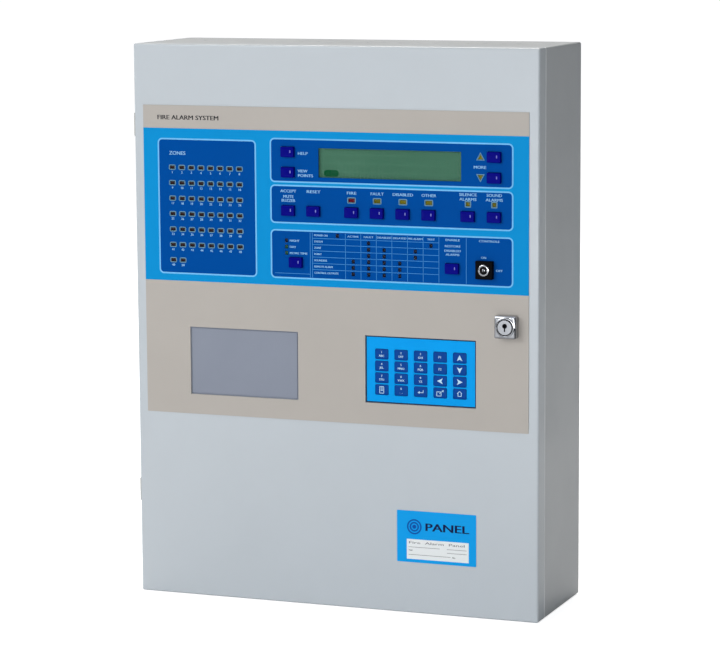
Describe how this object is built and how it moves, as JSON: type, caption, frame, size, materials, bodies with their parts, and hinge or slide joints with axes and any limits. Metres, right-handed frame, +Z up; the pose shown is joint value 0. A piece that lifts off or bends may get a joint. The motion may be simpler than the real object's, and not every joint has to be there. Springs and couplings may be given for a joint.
{
  "type": "fire alarm control panel",
  "caption": "Wall-mounted steel cabinet with a hinged door carrying zone lamps, display, push buttons, key switch, keypad, lock and label, with boards, supply and batteries inside.",
  "frame": {"origin": "centre of the four wall fixings, on the plane of the cabinet's back", "axes": "+Z up, +X to the right as the front is faced, +Y into the wall: the front faces -Y"},
  "size_m": [0.4654, 0.1555, 0.6],
  "materials": {
    "cabinet_paint": "satin powder coat",
    "door_paint": "satin powder coat",
    "hinge_steel": "zinc plated",
    "circuit_board": "solder resist on glass fibre",
    "spacer_brass": "plain",
    "screw_steel": "zinc plated",
    "terminal_green": "moulded",
    "supply_steel": "galvanised",
    "battery_case": "moulded",
    "cable_grey": "extruded",
    "overlay_print": "printed film",
    "clear_pane": "clear",
    "display_glass": "liquid crystal glass in a frame",
    "lamp_red": "unlit lens",
    "lamp_amber": "unlit lens",
    "lamp_dark": "unlit lens",
    "plate_grey": "satin",
    "keypad_blue": "moulded",
    "lock_chrome": "polished",
    "switch_black": "moulded",
    "button_navy": "moulded",
    "key_blue": "moulded",
    "label_film": "printed film",
    "cam_steel": "zinc plated"
  },
  "bodies": {
    "cabinet": {"back_box": "cabinet_paint", "hinge_pin_halves": "hinge_steel", "main_board": "circuit_board", "board_spacers": "spacer_brass", "board_screws": "screw_steel", "terminal_blocks": "terminal_green", "power_supply": "supply_steel", "batteries": "battery_case", "ribbon_cable": "cable_grey"},
    "door": {"door_panel": "door_paint", "hinge_socket_halves": "hinge_steel", "front_overlay": "overlay_print", "display_window": "clear_pane", "display_module": "display_glass", "door_boards": "circuit_board", "red_lamps": "lamp_red", "amber_lamps": "lamp_amber", "status_lamps": "lamp_dark", "blank_plate": "plate_grey", "keypad_sheet": "keypad_blue", "lock_body": "lock_chrome", "key_switch_body": "switch_black", "name_label": "label_film"},
    "lock_plug": {"lock_barrel": "lock_chrome", "lock_cam": "cam_steel"},
    "switch_plug": {"key_switch_barrel": "lock_chrome"},
    "button_help": {"button_help": "button_navy"},
    "button_view_points": {"button_view_points": "button_navy"},
    "button_more_up": {"button_more_up": "button_navy"},
    "button_more_down": {"button_more_down": "button_navy"},
    "button_accept": {"button_accept": "button_navy"},
    "button_reset": {"button_reset": "button_navy"},
    "button_fire": {"button_fire": "button_navy"},
    "button_fault": {"button_fault": "button_navy"},
    "button_disabled": {"button_disabled": "button_navy"},
    "button_other": {"button_other": "button_navy"},
    "button_silence": {"button_silence": "button_navy"},
    "button_sound": {"button_sound": "button_navy"},
    "button_mode": {"button_mode": "button_navy"},
    "button_restore": {"button_restore": "button_navy"},
    "key_1": {"key_1": "key_blue"},
    "key_2": {"key_2": "key_blue"},
    "key_3": {"key_3": "key_blue"},
    "key_f1": {"key_f1": "key_blue"},
    "key_up": {"key_up": "key_blue"},
    "key_4": {"key_4": "key_blue"},
    "key_5": {"key_5": "key_blue"},
    "key_6": {"key_6": "key_blue"},
    "key_f2": {"key_f2": "key_blue"},
    "key_down": {"key_down": "key_blue"},
    "key_7": {"key_7": "key_blue"},
    "key_8": {"key_8": "key_blue"},
    "key_9": {"key_9": "key_blue"},
    "key_left": {"key_left": "key_blue"},
    "key_right": {"key_right": "key_blue"},
    "key_menu": {"key_menu": "key_blue"},
    "key_0": {"key_0": "key_blue"},
    "key_enter": {"key_enter": "key_blue"},
    "key_escape": {"key_escape": "key_blue"},
    "key_home": {"key_home": "key_blue"}
  },
  "joints": [
    {"name": "door_hinge", "type": "hinge", "parent": "cabinet", "child": "door", "pos_m": [-0.2329, -0.1244, 0], "axis": [0, 0, -1], "range_deg": [0, 120], "deforming": ["ribbon_cable"]},
    {"name": "lock_turn", "type": "hinge", "parent": "door", "child": "lock_plug", "pos_m": [0.1945, -0.145, 0.0125], "axis": [0, 1, 0], "range_deg": [0, 90]},
    {"name": "key_switch_turn", "type": "hinge", "parent": "door", "child": "switch_plug", "pos_m": [0.1702, -0.145, 0.0705], "axis": [0, -1, 0], "range_deg": [0, 90]},
    {"name": "press_help", "type": "slide", "parent": "door", "child": "button_help", "axis": [0, 1, 0], "range_m": [0, 0.001], "stiffness_N_per_m": 800},
    {"name": "press_view_points", "type": "slide", "parent": "door", "child": "button_view_points", "axis": [0, 1, 0], "range_m": [0, 0.001], "stiffness_N_per_m": 800},
    {"name": "press_more_up", "type": "slide", "parent": "door", "child": "button_more_up", "axis": [0, 1, 0], "range_m": [0, 0.001], "stiffness_N_per_m": 800},
    {"name": "press_more_down", "type": "slide", "parent": "door", "child": "button_more_down", "axis": [0, 1, 0], "range_m": [0, 0.001], "stiffness_N_per_m": 800},
    {"name": "press_accept", "type": "slide", "parent": "door", "child": "button_accept", "axis": [0, 1, 0], "range_m": [0, 0.001], "stiffness_N_per_m": 800},
    {"name": "press_reset", "type": "slide", "parent": "door", "child": "button_reset", "axis": [0, 1, 0], "range_m": [0, 0.001], "stiffness_N_per_m": 800},
    {"name": "press_fire", "type": "slide", "parent": "door", "child": "button_fire", "axis": [0, 1, 0], "range_m": [0, 0.001], "stiffness_N_per_m": 800},
    {"name": "press_fault", "type": "slide", "parent": "door", "child": "button_fault", "axis": [0, 1, 0], "range_m": [0, 0.001], "stiffness_N_per_m": 800},
    {"name": "press_disabled", "type": "slide", "parent": "door", "child": "button_disabled", "axis": [0, 1, 0], "range_m": [0, 0.001], "stiffness_N_per_m": 800},
    {"name": "press_other", "type": "slide", "parent": "door", "child": "button_other", "axis": [0, 1, 0], "range_m": [0, 0.001], "stiffness_N_per_m": 800},
    {"name": "press_silence", "type": "slide", "parent": "door", "child": "button_silence", "axis": [0, 1, 0], "range_m": [0, 0.001], "stiffness_N_per_m": 800},
    {"name": "press_sound", "type": "slide", "parent": "door", "child": "button_sound", "axis": [0, 1, 0], "range_m": [0, 0.001], "stiffness_N_per_m": 800},
    {"name": "press_mode", "type": "slide", "parent": "door", "child": "button_mode", "axis": [0, 1, 0], "range_m": [0, 0.001], "stiffness_N_per_m": 800},
    {"name": "press_restore", "type": "slide", "parent": "door", "child": "button_restore", "axis": [0, 1, 0], "range_m": [0, 0.001], "stiffness_N_per_m": 800},
    {"name": "press_key_1", "type": "slide", "parent": "door", "child": "key_1", "axis": [0, 1, 0], "range_m": [0, 0.0005], "stiffness_N_per_m": 1500},
    {"name": "press_key_2", "type": "slide", "parent": "door", "child": "key_2", "axis": [0, 1, 0], "range_m": [0, 0.0005], "stiffness_N_per_m": 1500},
    {"name": "press_key_3", "type": "slide", "parent": "door", "child": "key_3", "axis": [0, 1, 0], "range_m": [0, 0.0005], "stiffness_N_per_m": 1500},
    {"name": "press_key_f1", "type": "slide", "parent": "door", "child": "key_f1", "axis": [0, 1, 0], "range_m": [0, 0.0005], "stiffness_N_per_m": 1500},
    {"name": "press_key_up", "type": "slide", "parent": "door", "child": "key_up", "axis": [0, 1, 0], "range_m": [0, 0.0005], "stiffness_N_per_m": 1500},
    {"name": "press_key_4", "type": "slide", "parent": "door", "child": "key_4", "axis": [0, 1, 0], "range_m": [0, 0.0005], "stiffness_N_per_m": 1500},
    {"name": "press_key_5", "type": "slide", "parent": "door", "child": "key_5", "axis": [0, 1, 0], "range_m": [0, 0.0005], "stiffness_N_per_m": 1500},
    {"name": "press_key_6", "type": "slide", "parent": "door", "child": "key_6", "axis": [0, 1, 0], "range_m": [0, 0.0005], "stiffness_N_per_m": 1500},
    {"name": "press_key_f2", "type": "slide", "parent": "door", "child": "key_f2", "axis": [0, 1, 0], "range_m": [0, 0.0005], "stiffness_N_per_m": 1500},
    {"name": "press_key_down", "type": "slide", "parent": "door", "child": "key_down", "axis": [0, 1, 0], "range_m": [0, 0.0005], "stiffness_N_per_m": 1500},
    {"name": "press_key_7", "type": "slide", "parent": "door", "child": "key_7", "axis": [0, 1, 0], "range_m": [0, 0.0005], "stiffness_N_per_m": 1500},
    {"name": "press_key_8", "type": "slide", "parent": "door", "child": "key_8", "axis": [0, 1, 0], "range_m": [0, 0.0005], "stiffness_N_per_m": 1500},
    {"name": "press_key_9", "type": "slide", "parent": "door", "child": "key_9", "axis": [0, 1, 0], "range_m": [0, 0.0005], "stiffness_N_per_m": 1500},
    {"name": "press_key_left", "type": "slide", "parent": "door", "child": "key_left", "axis": [0, 1, 0], "range_m": [0, 0.0005], "stiffness_N_per_m": 1500},
    {"name": "press_key_right", "type": "slide", "parent": "door", "child": "key_right", "axis": [0, 1, 0], "range_m": [0, 0.0005], "stiffness_N_per_m": 1500},
    {"name": "press_key_menu", "type": "slide", "parent": "door", "child": "key_menu", "axis": [0, 1, 0], "range_m": [0, 0.0005], "stiffness_N_per_m": 1500},
    {"name": "press_key_0", "type": "slide", "parent": "door", "child": "key_0", "axis": [0, 1, 0], "range_m": [0, 0.0005], "stiffness_N_per_m": 1500},
    {"name": "press_key_enter", "type": "slide", "parent": "door", "child": "key_enter", "axis": [0, 1, 0], "range_m": [0, 0.0005], "stiffness_N_per_m": 1500},
    {"name": "press_key_escape", "type": "slide", "parent": "door", "child": "key_escape", "axis": [0, 1, 0], "range_m": [0, 0.0005], "stiffness_N_per_m": 1500},
    {"name": "press_key_home", "type": "slide", "parent": "door", "child": "key_home", "axis": [0, 1, 0], "range_m": [0, 0.0005], "stiffness_N_per_m": 1500}
  ]
}
